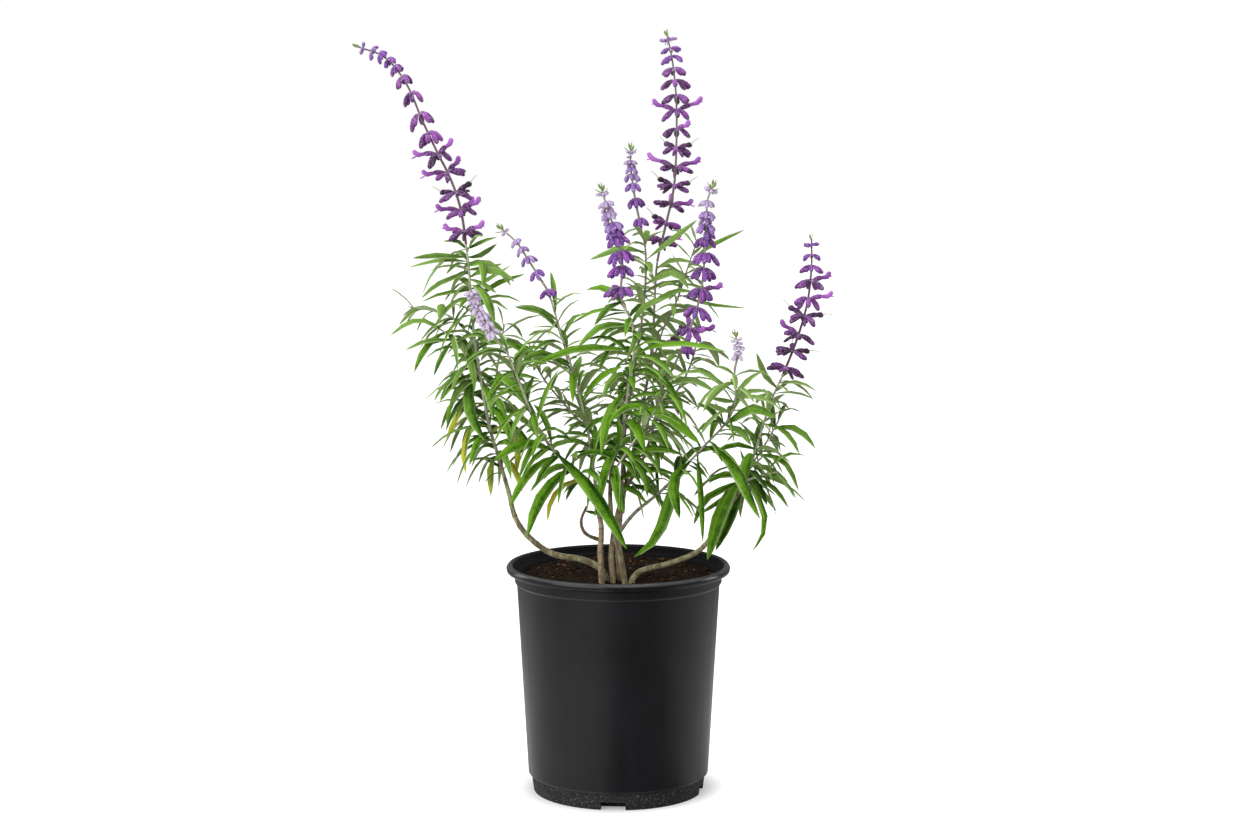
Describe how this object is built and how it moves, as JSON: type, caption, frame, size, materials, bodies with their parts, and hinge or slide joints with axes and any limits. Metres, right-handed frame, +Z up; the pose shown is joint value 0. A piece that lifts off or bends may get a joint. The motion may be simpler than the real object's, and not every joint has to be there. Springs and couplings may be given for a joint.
{
  "type": "potted mexican bush sage",
  "caption": "Mexican bush sage with arching leafy stems and purple flower spikes, growing in a plain black round nursery pot.",
  "frame": {"origin": "Middle of the flat underside of the pot.", "axes": "+Z is up along the pot's axis; +X is to the right of someone looking at the front, and +Y points away from them."},
  "size_m": [0.3464, 0.1838, 0.5594],
  "materials": {
    "pot_plastic": "semi-matte charcoal black, moulded",
    "potting_mix": "damp dark bark and peat mix",
    "foliage": "soft green leaves with pale woolly undersides and stems",
    "flowers": "velvety violet calyces with magenta-purple corollas",
    "young_flowers": "pale lilac-grey woolly buds"
  },
  "bodies": {
    "root": {"nursery_pot": "pot_plastic", "potting_soil": "potting_mix", "leafy_stem_far_left": "foliage", "leafy_stem_front_left": "foliage", "leafy_stem_front": "foliage", "leafy_stem_right": "foliage", "leafy_stem_far_right": "foliage", "leafy_stem_back": "foliage", "flower_spike_far_left": "flowers", "flower_spike_left": "flowers", "flower_spike_young": "young_flowers", "flower_spike_front": "flowers", "flower_spike_back_small": "flowers", "flower_spike_tall": "flowers", "flower_spike_right": "flowers", "flower_spike_far_right": "flowers", "flower_spike_bud": "young_flowers"}
  },
  "joints": []
}
